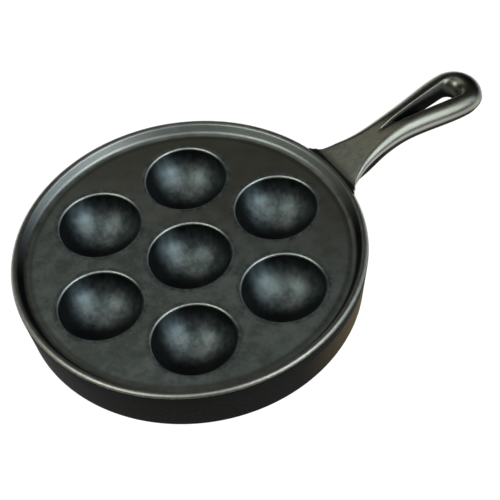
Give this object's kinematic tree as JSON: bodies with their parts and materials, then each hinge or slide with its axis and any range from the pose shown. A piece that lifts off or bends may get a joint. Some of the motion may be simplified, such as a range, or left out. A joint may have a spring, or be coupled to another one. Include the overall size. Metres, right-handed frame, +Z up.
{
  "type": "aebleskiver pan",
  "caption": "Round cast-iron stovetop pan with hemispherical baking cups in its plate and a long handle with a hanging eye.",
  "frame": {"origin": "centre of the ring that the pan stands on, at the level of its foot", "axes": "+X along the handle, away from the pan; +Z up, out of the cups"},
  "size_m": [0.3472, 0.2294, 0.0506],
  "materials": {
    "seasoned_iron": "satin black, oil-seasoned, with the fine grain of a sand casting",
    "cup_iron": "satin black, oil-seasoned, ground smooth inside the cups"
  },
  "bodies": {
    "root": {"cooking_plate": "seasoned_iron", "rim": "seasoned_iron", "side_wall": "seasoned_iron", "cup_centre": "cup_iron", "cup_1": "cup_iron", "cup_2": "cup_iron", "cup_3": "cup_iron", "cup_4": "cup_iron", "cup_5": "cup_iron", "cup_6": "cup_iron", "handle_neck": "seasoned_iron", "handle_loop": "seasoned_iron"}
  },
  "joints": []
}
